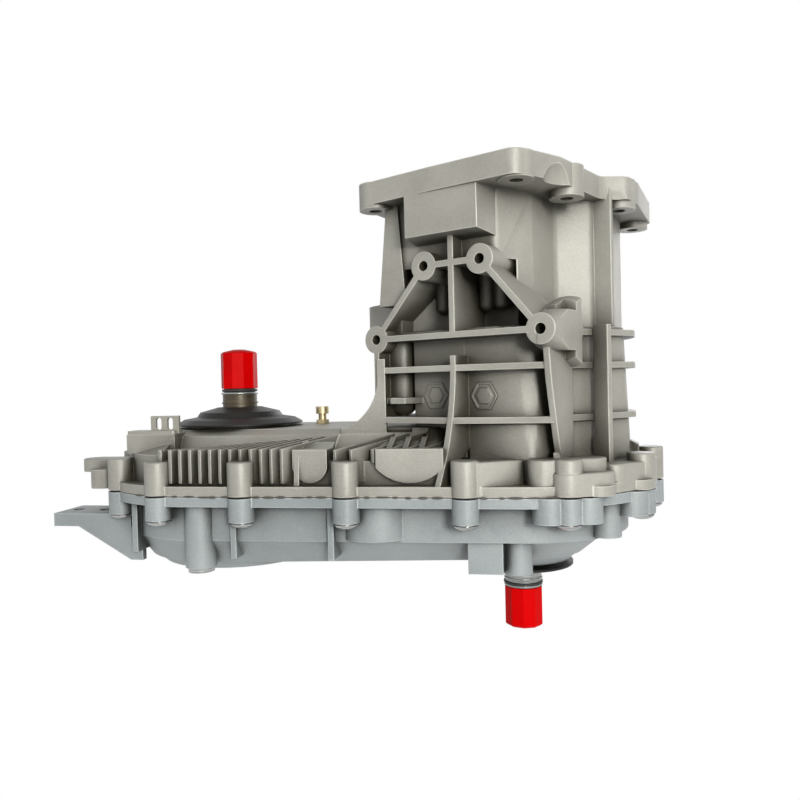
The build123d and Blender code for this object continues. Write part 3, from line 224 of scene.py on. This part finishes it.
finishes = {
    # The third colour of each casting is the painted shade in its recesses.
    "cast_upper": cast_aluminium(
        "cast_upper_finish", (0.46, 0.45, 0.405), (0.35, 0.34, 0.30), (0.045, 0.041, 0.028),
    ),
    # The lower casting's grey is tinted blue as painted cool light from below, in its shade colour too.
    "cast_lower": cast_aluminium(
        "cast_lower_finish", (0.42, 0.46, 0.465), (0.31, 0.345, 0.35), (0.045, 0.05, 0.047),
    ),
    "sealant": paint_or_plastic("sealant_finish", (0.10, 0.09, 0.08), 0.6),
    "bolt_steel": turned_steel("bolt_finish", (0.5, 0.51, 0.5), (0.25, 0.25, 0.24), 0.26, metallic=0.9),
    "bracket_steel": turned_steel(
        "bracket_finish", (0.42, 0.41, 0.36), (0.32, 0.31, 0.27), 0.45, metallic=0.3,
    ),
    "breather_metal": turned_steel("breather_finish", (0.62, 0.53, 0.32), (0.45, 0.37, 0.2), 0.35),
    "motor_can": paint_or_plastic("motor_can_finish", (0.055, 0.055, 0.06), 0.42, metallic=0.6),
    "black_plastic": paint_or_plastic("connector_finish", (0.03, 0.03, 0.032), 0.5),
    "cap_red": paint_or_plastic("cap_finish", (0.8, 0.0006, 0.0015), 0.34, 120, 0.00005, shine=0.05),
    "shaft_steel": turned_steel(
        "shaft_finish", (0.10, 0.078, 0.045), (0.045, 0.035, 0.022), 0.42, metallic=0.35,
    ),
    "shield_black": paint_or_plastic("shield_finish", (0.014, 0.014, 0.013), 0.45, shine=0.25),
    "seal_rubber": paint_or_plastic("seal_finish", (0.03, 0.03, 0.03), 0.6),
    "gear_steel": turned_steel("gear_finish", (0.55, 0.55, 0.56), (0.36, 0.36, 0.37), 0.3),
    "bush_bronze": turned_steel("bush_finish", (0.62, 0.46, 0.24), (0.46, 0.32, 0.16), 0.35),
    "friction_lining": paint_or_plastic("lining_finish", (0.14, 0.09, 0.05), 0.75, 600, 0.0003),
    "plate_steel": turned_steel("plate_finish", (0.55, 0.55, 0.56), (0.38, 0.38, 0.39), 0.35),
    "bearing_steel": turned_steel("bearing_finish", (0.40, 0.42, 0.41), (0.2, 0.21, 0.2), 0.3),
}
for subpart in frame["record"]["subparts"]:
    node = nodes[subpart["node"]]
    for holder in node.material_slots:
        holder.link = "OBJECT"
        holder.material = finishes[subpart["material_slot"]]


# Small pieces that only the looks need

def finish_piece(piece, name, slot, body):
    """Name a piece, give it its finish and let it ride on its body."""
    piece.name = name
    bpy.ops.object.select_all(action="DESELECT")
    piece.select_set(True)
    bpy.context.view_layer.objects.active = piece
    bpy.ops.object.transform_apply(location=True, rotation=True, scale=True)
    bpy.ops.object.shade_smooth_by_angle(angle=math.radians(35))
    piece.data.materials.clear()
    piece.data.materials.append(finishes[slot])
    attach(piece, body)


def front_faces(piece, way):
    """Enter edit mode with only the faces selected that look along one local direction."""
    bpy.context.view_layer.objects.active = piece
    bpy.ops.object.mode_set(mode="EDIT")
    bpy.ops.mesh.select_all(action="DESELECT")
    bpy.ops.mesh.select_mode(type="FACE")
    bpy.ops.object.mode_set(mode="OBJECT")
    for face in piece.data.polygons:
        face.select = face.normal.dot(way) > 0.99
    bpy.ops.object.mode_set(mode="EDIT")


# The bell is turned about the main shaft, and its near wall is a flat at this distance in millimetres.
bell_turn = math.radians(-25)
near_flat = 84
near_wall = -near_flat * MM


def wall_point(across, depth, height):
    """A point of the bell's turned frame in the shared frame, in metres."""
    return Vector((
        across * math.cos(bell_turn) - depth * math.sin(bell_turn),
        across * math.sin(bell_turn) + depth * math.cos(bell_turn),
        height,
    ))


pad_radius = 0.0125
pad_rise = 0.0009
pad_rim = 0.0013
pad_groove = 0.0007


def hexagon_pad(name, across, height):
    """Blank six-sided cast pad on the near wall: rim, groove and a raised middle."""
    bpy.ops.mesh.primitive_cylinder_add(vertices=6, radius=pad_radius, depth=2 * pad_rise)
    piece = bpy.context.object
    front_faces(piece, Vector((0, 0, 1)))
    bpy.ops.mesh.inset(thickness=pad_rim)
    bpy.ops.mesh.inset(thickness=pad_rim / 2, depth=-pad_groove)
    bpy.ops.mesh.inset(thickness=pad_rim * 1.6)
    bpy.ops.mesh.inset(thickness=pad_rim / 2, depth=pad_groove)
    bpy.ops.object.mode_set(mode="OBJECT")
    stand = Matrix.Rotation(bell_turn, 4, "Z") @ Matrix.Rotation(math.radians(90), 4, "X")
    point_up = Matrix.Rotation(math.radians(30), 4, "Z")
    piece.matrix_world = Matrix.Translation(wall_point(across, near_wall, height)) @ stand @ point_up
    finish_piece(piece, name, "cast_upper", "case")


hexagon_pad("wall_pad_left", -0.0364, -0.182)
hexagon_pad("wall_pad_right", 0.0095, -0.183)


def ring(name, x, height, radius, thickness, slot, body):
    """Round ring on an output stub."""
    bpy.ops.mesh.primitive_torus_add(
        major_radius=radius, minor_radius=thickness, major_segments=64, minor_segments=12,
        location=(x, 0, height),
    )
    finish_piece(bpy.context.object, name, slot, body)


front_x = -0.27
ring("rear_neck_seal", 0, -0.3541, 0.0165, 0.0013, "seal_rubber", "main_shaft")
ring("front_neck_seal", front_x, -0.1738, 0.0158, 0.0013, "seal_rubber", "front_output")
ring("front_neck_ring", front_x, -0.1768, 0.0166, 0.0012, "bearing_steel", "front_output")


# Forms of the castings that go beyond the plain solids, cut into merged copies of them

def box(low, high, turned=False):
    """Box between two corners in millimetres, turned with the bell if asked."""
    bpy.ops.mesh.primitive_cube_add(
        size=1,
        location=[MM * (a + b) / 2 for a, b in zip(low, high)],
        scale=[MM * (b - a) for a, b in zip(low, high)],
    )
    piece = bpy.context.object
    if turned:
        piece.matrix_world = Matrix.Rotation(bell_turn, 4, "Z") @ piece.matrix_world
    bpy.ops.object.transform_apply(location=True, rotation=True, scale=True)
    return piece


def column(spot, radius, low, high, rounding=1.5):
    """Round column in millimetres with its upper rim rounded."""
    bpy.ops.mesh.primitive_cylinder_add(
        vertices=40, radius=MM * radius, depth=MM * (high - low),
        location=(MM * spot[0], MM * spot[1], MM * (low + high) / 2),
    )
    piece = bpy.context.object
    bpy.ops.object.transform_apply(location=True)
    if rounding:
        front_faces(piece, Vector((0, 0, 1)))
        bpy.ops.mesh.bevel(offset=MM * rounding, segments=3, affect="EDGES")
        bpy.ops.object.mode_set(mode="OBJECT")
    return piece


def join(pieces):
    """Join pieces into the first one."""
    bpy.ops.object.select_all(action="DESELECT")
    for piece in pieces:
        piece.select_set(True)
    bpy.context.view_layer.objects.active = pieces[0]
    if len(pieces) > 1:
        bpy.ops.object.join()
    return pieces[0]


def joined_bosses(spots, radius, low, high):
    """Several round bosses wrapped into one block."""
    block = join([column(spot, radius, low, high, 0) for spot in spots])
    bpy.ops.object.mode_set(mode="EDIT")
    bpy.ops.mesh.select_all(action="SELECT")
    bpy.ops.mesh.convex_hull()
    bpy.ops.object.mode_set(mode="OBJECT")
    front_faces(block, Vector((0, 0, 1)))
    bpy.ops.mesh.dissolve_limited(angle_limit=math.radians(1))
    bpy.ops.mesh.bevel(offset=1.5 * MM, segments=3, affect="EDGES")
    bpy.ops.object.mode_set(mode="OBJECT")
    return block


def slice_off(piece, point, way):
    """Cut a closed piece by a plane and drop what lies on the side it looks to."""
    bpy.context.view_layer.objects.active = piece
    bpy.ops.object.mode_set(mode="EDIT")
    bpy.ops.mesh.select_all(action="SELECT")
    bpy.ops.mesh.bisect(plane_co=point, plane_no=way, use_fill=True, clear_outer=True)
    bpy.ops.object.mode_set(mode="OBJECT")


def cut_away(piece, cutter):
    """Cut one closed piece out of another, and drop the cutter."""
    modifier = piece.modifiers.new("cut", "BOOLEAN")
    modifier.operation = "DIFFERENCE"
    modifier.object = cutter
    modifier.solver = "EXACT"
    bpy.context.view_layer.objects.active = piece
    bpy.ops.object.modifier_apply(modifier=modifier.name)
    bpy.data.objects.remove(cutter)


def workable_copy(name):
    """Merged copy of a CAD node that may be cut."""
    source = nodes[name]
    piece = bpy.data.objects.new(name + "_dressed", source.data.copy())
    bpy.context.collection.objects.link(piece)
    piece.matrix_world = source.matrix_world.copy()
    bpy.ops.object.select_all(action="DESELECT")
    piece.select_set(True)
    bpy.context.view_layer.objects.active = piece
    bpy.ops.object.transform_apply(location=True, rotation=True, scale=True)
    bpy.ops.mesh.customdata_custom_splitnormals_clear()
    bpy.ops.object.mode_set(mode="EDIT")
    bpy.ops.mesh.select_all(action="SELECT")
    bpy.ops.mesh.remove_doubles(threshold=0.000002)
    bpy.ops.object.mode_set(mode="OBJECT")
    return piece


# Clutch barrel in millimetres: its flared foot, its slightly tapered side and the facet at the right
facet_turn = math.radians(-24.6) + bell_turn
facet_reach = 81
foot_radius = 108
barrel_radius = 96
barrel_top_radius = 91.5
foot_height = 27
foot_middle = -245.5
barrel_height = 104


def barrel(grow):
    """The clutch barrel with its flat and its facet, grown by some millimetres."""
    bpy.ops.mesh.primitive_cone_add(
        vertices=128, radius1=MM * (foot_radius + grow), radius2=MM * (barrel_radius + grow),
        depth=foot_height * MM, location=(0, 0, foot_middle * MM),
    )
    piece = bpy.context.object
    bpy.ops.object.transform_apply(location=True)
    front_faces(piece, Vector((0, 0, 1)))
    bpy.ops.mesh.extrude_region_move(TRANSFORM_OT_translate={"value": (0, 0, barrel_height * MM)})
    shrink = (barrel_top_radius + grow) / (barrel_radius + grow)
    bpy.ops.transform.resize(value=(shrink, shrink, 1), center_override=(0, 0, 0))
    bpy.ops.object.mode_set(mode="OBJECT")
    slice_off(piece, wall_point(0, (-near_flat - grow) * MM, 0), wall_point(0, -1, 0))
    facet = Vector((math.cos(facet_turn), math.sin(facet_turn), 0))
    slice_off(piece, facet * (facet_reach + grow) * MM, facet)
    return piece


# Heights in millimetres: the shelf beside the tunnel, the lip along the split, and the foot of the bosses
shelf_z = -233
lip_z = -252
boss_foot = -259.5
# Cutters stop a little above the lip, so that no two faces lie in one plane.
lip_cut = lip_z + 0.02
# Height above all that the slope's cutters clear, and the top of the chamber in which the gears turn
clear_top = -200
chamber_top = -234.1
boss_radius = 11

# Sixteen bolts, as far from the line between the shafts as from each shaft at the ends
bolt_reach = 113
output_x = -270


def round_spot(x, degrees):
    """Place of a bolt round a shaft, in millimetres."""
    angle = math.radians(degrees)
    return x + bolt_reach * math.cos(angle), bolt_reach * math.sin(angle)


bolt_spots = [(x, side * bolt_reach) for x in (-224, -136, -41) for side in (-1, 1)]
bolt_spots += [round_spot(0, degrees) for degrees in (-71, -31, 0, 31, 71)]
bolt_spots += [round_spot(output_x, degrees) for degrees in (105, 137, 180, 223, 255)]

fin_thickness = 3.2
fin_run = 45
fin_overlap = 4
fin_start_y = -107


def slanted_fin(x, slant, low, near, far, ahead=5):
    """Thin fin from the near edge inwards, its top rising from one height to another."""
    turn = math.radians(slant)
    reach = fin_run / math.cos(turn)
    fin = box((0, -ahead, low), (fin_thickness, reach + fin_overlap, near))
    bpy.ops.object.mode_set(mode="EDIT")
    bpy.ops.mesh.select_all(action="DESELECT")
    bpy.ops.object.mode_set(mode="OBJECT")
    for vertex in fin.data.vertices:
        vertex.select = vertex.co.z > MM * (low + near) / 2 and vertex.co.y > MM * reach / 2
    bpy.ops.object.mode_set(mode="EDIT")
    bpy.ops.mesh.select_mode(type="VERT")
    bpy.ops.transform.translate(value=(0, 0, MM * (far - near)))
    bpy.ops.object.mode_set(mode="OBJECT")
    fin.matrix_world = Matrix.Translation((MM * x, MM * fin_start_y, 0)) @ Matrix.Rotation(-turn, 4, "Z")
    bpy.ops.object.transform_apply(location=True, rotation=True, scale=True)
    return fin


front = workable_copy("front_housing")
for low, high, turned in (
    # the slope with its straight fins, kept clear of the cups, the bracket pad and the bell
    ((-304.1, -120, shelf_z), (-299.8, -77.3, clear_top), False),
    ((-299.81, -120, shelf_z), (-181.05, -62, clear_top), False),
    ((-181.06, -82.9, shelf_z), (-151.95, -62, clear_top), False),
    ((-151.96, -120, shelf_z), (-112.05, -62.05, -204.6), False),
    ((-112.06, -82.9, shelf_z), (-75, -62.05, -204.6), False),
    ((-299.8, -62.2, -213.9), (-152, -54.1, clear_top), False),
    ((-304.1, -130, lip_cut), (-181.05, -103.05, clear_top), False),
    ((-151.96, -130, lip_cut), (-112.05, -103.05, clear_top), False),
    # the cone behind the fourth bracket boss, left as a narrow wing
    ((80.4, -104, -170), (100, -56.5, -100), True),
    ((64, -104.5, -118), (82, -78, -100), True),
    ((70, -78.1, -118), (100, -62, -100), True),
    ((71.3, -104.5, -170), (82, -72, -149), True),
    ((71.3, -72.1, -170), (82, -65, -149), True),
    ((45, -103.9, -157), (65.9, -86.5, -136.3), True),
    # the inner half of the wide left rib
    ((-112, -62.2, -212.9), (-89.9, -56.8, -149.9), False),
    # the far end of the cone
    ((80.4, -57, -170), (100, -50.5, -100), True),
):
    cut_away(front, box(low, high, turned))

# the near corner outside the barrel, but for the two ribs that stand in it
corner = box((-4.95, -150, lip_cut), (150, 20, -209.05), True)
cut_away(corner, barrel(0.05))
cut_away(corner, box((65.95, -104, -260), (71.05, -50, -200), True))
rib_slot = box((85, -2.55, -260), (101.1, 2.55, -200))
rib_slot.matrix_world = Matrix.Rotation(math.radians(-44), 4, "Z")
bpy.ops.object.transform_apply(rotation=True)
cut_away(corner, rib_slot)
cut_away(front, corner)

# shell of the barrel's near wall, carried down to the split
extras = []
wall = barrel(0.25)
cut_away(wall, barrel(-4))
slice_off(wall, wall_point(-5.2 * MM, 0, 0), wall_point(-1, 0, 0))
slice_off(wall, wall_point(0, 20.3 * MM, 0), wall_point(0, 1, 0))
slice_off(wall, Vector((0, 0, -206 * MM)), Vector((0, 0, 1)))
slice_off(wall, Vector((0, 0, -253 * MM)), Vector((0, 0, -1)))
extras.append(wall)

# straight side of the tunnel over the gear train
tunnel_edge = Vector((0, -62, -214)) * MM
tunnel = box((-304, -70, -233.2), (-82, -50, -209.05))
slice_off(tunnel, tunnel_edge, Vector((0, -19, 8)).normalized())
slice_off(tunnel, tunnel_edge, Vector((0, -5, 8)).normalized())
extras.append(tunnel)

# left fins, which lean over more and rise higher one after another
fins = []
left_fins = 13
for i in range(left_fins):
    part_way = i / (left_fins - 1)
    fins.append(slanted_fin(-296 + 9 * i, 8 + 26 * part_way, lip_z + 2, -222, -225 + 11 * part_way))

# right fins: the first two stand on the lip, the others on the shelf behind the cup
for i in range(6):
    low, ahead = (lip_z + 2, 5) if i < 2 else (shelf_z - 1, -1)
    fins.append(slanted_fin(-143 + 13 * i, 38, low, -223.2, -214, ahead))

# the fins end above the gears' chamber
fins = join(fins)
cut_away(fins, box((-330, -96.9, -262), (-50, 0, chamber_top)))
extras.append(fins)

# bolt bosses, the blocks that join some of them, and the lug at the left end
for spot in bolt_spots:
    extras.append(column(spot, boss_radius, boss_foot, -231.7))
for spots, radius, low, high in (
    (((18.1, -102.4), (55.1, -88.2)), 12, boss_foot, -232.2),
    (((36.5, -105.9), (59.4, -95)), 13, boss_foot, -242),
    (((72.3, -77.5), (94.3, -56.7), (102.4, -27.4)), 12, boss_foot, -238),
    (((-41, -112), (-6, -94)), 10, boss_foot, -233),
    (((-397, -42), (-366, -42)), 13, -247, -235),
):
    extras.append(joined_bosses(spots, radius, low, high))

# flat near wall to the left of the pads, and the round column beside it
wall_top = -128.2
side_radius = 13
side_foot = -187
extras.append(box((-58, -84.3, -234), (-8, -70, wall_top), True))
side = wall_point(-76 * MM, -76 * MM, 0) / MM
extras.append(column(side, side_radius, side_foot, wall_top, 0))
bpy.ops.mesh.primitive_uv_sphere_add(
    segments=40, ring_count=20, radius=side_radius * MM, location=(side.x * MM, side.y * MM, side_foot * MM),
)
bpy.ops.object.transform_apply(location=True)
extras.append(bpy.context.object)

dressed = join([front] + extras)
finish_piece(dressed, "front_housing_dressed", "cast_upper", "case")
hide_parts("front_housing")

# Rear casting: wider bolt bosses and one joined block over its near side
rear_boss_top = -261.2
lower = workable_copy("rear_housing")
lower_extras = [column(spot, boss_radius, -280.6, rear_boss_top, 0) for spot in bolt_spots]
lower_extras.append(joined_bosses(((34, -98), (53, -94)), 10, -280.4, rear_boss_top))
dressed = join([lower] + lower_extras)
finish_piece(dressed, "rear_housing_dressed", "cast_lower", "case")
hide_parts("rear_housing")

# Bolt heads: where the dome starts, its radius and its rise
head_z = -281.7
head_radius = 9.9
head_rise = 4.2


def domed_bolt(spot):
    """Bolt with a low rounded head, standing off the boss on a collar."""
    shank = column(spot, 4, -282, -245, 0)
    collar = column(spot, 8.2, -281.9, -280.5, 0)
    bpy.ops.mesh.primitive_uv_sphere_add(
        segments=32, ring_count=16, radius=1, location=(MM * spot[0], MM * spot[1], head_z * MM),
        scale=(head_radius * MM, head_radius * MM, head_rise * MM),
    )
    head = bpy.context.object
    bpy.ops.object.transform_apply(location=True, scale=True)
    slice_off(head, Vector((0, 0, head_z * MM)), Vector((0, 0, 1)))
    return [shank, collar, head]


bolts = join([piece for spot in bolt_spots for piece in domed_bolt(spot)])
finish_piece(bolts, "case_bolts_dressed", "bolt_steel", "case")
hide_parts("case_bolts")


cap_radius = 17.4


def faceted_cap(name, node, body, x, low, high, point_up):
    """Push-on cap with ten flats and a blunt point."""
    bpy.ops.mesh.primitive_cylinder_add(
        vertices=10, radius=cap_radius * MM, depth=MM * (high - low),
        location=(MM * x, 0, MM * (low + high) / 2),
    )
    cap = bpy.context.object
    bpy.ops.object.transform_apply(location=True)
    front_faces(cap, Vector((0, 0, 1 if point_up else -1)))
    bpy.ops.mesh.inset(thickness=1.6 * MM, depth=1.6 * MM)
    bpy.ops.mesh.inset(thickness=9 * MM, depth=2.2 * MM)
    bpy.ops.object.mode_set(mode="OBJECT")
    finish_piece(cap, name, "cap_red", body)
    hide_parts(node)


# the rear sleeve again, in bright bearing steel
sleeve = workable_copy("rear_output_sleeve")
finish_piece(sleeve, "rear_sleeve_dressed", "bearing_steel", "main_shaft")
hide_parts("rear_output_sleeve")
faceted_cap("front_cap_dressed", "front_output_cap", "front_cap", output_x, -172, -138, True)
faceted_cap("rear_cap_dressed", "rear_output_cap", "rear_cap", 0, -392, -358, False)


# Sealant pressed out along the near side of the split

split_height = -0.2604
lip_reach = 0.1172
random.seed(7)
bead = []
for step in range(34):
    along = -0.315 + 0.0116 * step + random.uniform(-0.003, 0.003)
    # straight between the shafts, and round with the lip past each of them
    past_end = max(along, front_x - along, 0)
    reach = math.sqrt(lip_reach ** 2 - past_end ** 2)
    bpy.ops.mesh.primitive_uv_sphere_add(
        segments=12, ring_count=8, radius=1,
        location=(along, -reach, split_height + random.uniform(-0.0003, 0.0003)),
        scale=(random.uniform(0.0025, 0.0065), 0.0009, random.uniform(0.0005, 0.0011)),
    )
    bead.append(bpy.context.object)
finish_piece(join(bead), "sealant_squeeze", "sealant", "case")


# Floor, backdrop light and lamps

def seen_directly(tree):
    """One for camera, glossy and transmission rays, so the backdrop looks white in all of them."""
    path = tree.nodes.new("ShaderNodeLightPath")
    total = path.outputs["Is Camera Ray"]
    for other in ("Is Glossy Ray", "Is Transmission Ray"):
        larger = tree.nodes.new("ShaderNodeMath")
        larger.operation = "MAXIMUM"
        tree.links.new(total, larger.inputs[0])
        tree.links.new(path.outputs[other], larger.inputs[1])
        total = larger.outputs[0]
    return total


world = bpy.data.worlds.new("studio")
bpy.context.scene.world = world
world.use_nodes = True
tree = world.node_tree
plain = tree.nodes["Background"]
plain.inputs["Color"].default_value = (0.9, 0.95, 1.0, 1)
plain.inputs["Strength"].default_value = 0.13
white = tree.nodes.new("ShaderNodeBackground")
white.inputs["Color"].default_value = (1, 1, 1, 1)
white.inputs["Strength"].default_value = 1.0
blend = tree.nodes.new("ShaderNodeMixShader")
tree.links.new(seen_directly(tree), blend.inputs["Fac"])
tree.links.new(plain.outputs[0], blend.inputs[1])
tree.links.new(white.outputs[0], blend.inputs[2])
tree.links.new(blend.outputs[0], tree.nodes["World Output"].inputs["Surface"])

# The floor stands at the part's underside, which is the tip of the rear cap at rest.
bpy.ops.mesh.primitive_plane_add(size=6, location=(0, 0, cad_box[0][2]))
floor = bpy.context.object
floor.name = "floor"
bpy.ops.object.transform_apply(location=True)
material, tree, shader = new_material("floor_finish", (0.93, 0.93, 0.93), 0, 0.9)
glow = tree.nodes.new("ShaderNodeEmission")
glow.inputs["Color"].default_value = (1, 1, 1, 1)
blend = tree.nodes.new("ShaderNodeMixShader")
tree.links.new(seen_directly(tree), blend.inputs["Fac"])
tree.links.new(shader.outputs[0], blend.inputs[1])
tree.links.new(glow.outputs[0], blend.inputs[2])
tree.links.new(blend.outputs[0], tree.nodes["Material Output"].inputs["Surface"])
floor.data.materials.append(material)


def lamp(name, place, aim, size, power, colour=(1, 1, 1)):
    """Round soft lamp at a place, turned to a point."""
    data = bpy.data.lights.new(name, "AREA")
    data.shape = "DISK"
    data.size = size
    data.energy = power
    data.color = colour
    holder = bpy.data.objects.new(name, data)
    bpy.context.collection.objects.link(holder)
    holder.location = place
    holder.rotation_euler = (Vector(aim) - Vector(place)).to_track_quat("-Z", "Y").to_euler()


lamp("key", (0.62, -1.68, 0.12), (-0.05, 0, -0.2), 0.45, 27, (1, 0.985, 0.95))
# stands under the floor, which shades it
lamp("low", (0.3, -1.35, -0.85), (-0.1, 0, -0.28), 0.9, 11, (0.94, 0.98, 1))
lamp("fill", (-1.5, -1.2, -0.1), (-0.1, 0, -0.25), 1.2, 1, (0.92, 0.97, 1))
lamp("rim", (0.3, 1.6, 0.3), (-0.1, 0, -0.15), 1.2, 8)


# Camera at the photograph's angle, from its measured yaw, tilt and roll

yaw = math.radians(10.3)
tilt = math.radians(-1.15)
roll = math.radians(1.4)
level_right = Vector((math.cos(yaw), math.sin(yaw), 0))
level_ahead = Vector((-math.sin(yaw), math.cos(yaw), 0))
overhead = Vector((0, 0, 1))
ahead = level_ahead * math.cos(tilt) + overhead * math.sin(tilt)
raised = overhead * math.cos(tilt) - level_ahead * math.sin(tilt)
right = level_right * math.cos(roll) - raised * math.sin(roll)
up = level_right * math.sin(roll) + raised * math.cos(roll)
lens = bpy.data.cameras.new("camera")
lens.sensor_width = 36
lens.lens = 32.4
lens.clip_start = 0.01
camera = bpy.data.objects.new("camera", lens)
bpy.context.collection.objects.link(camera)
turn = Matrix((right, up, -ahead)).transposed().to_4x4()
camera_place = (0.010187, -0.66591, -0.173)
camera.matrix_world = Matrix.Translation(camera_place) @ turn
bpy.context.scene.camera = camera
bpy.context.scene.view_settings.view_transform = "Standard"
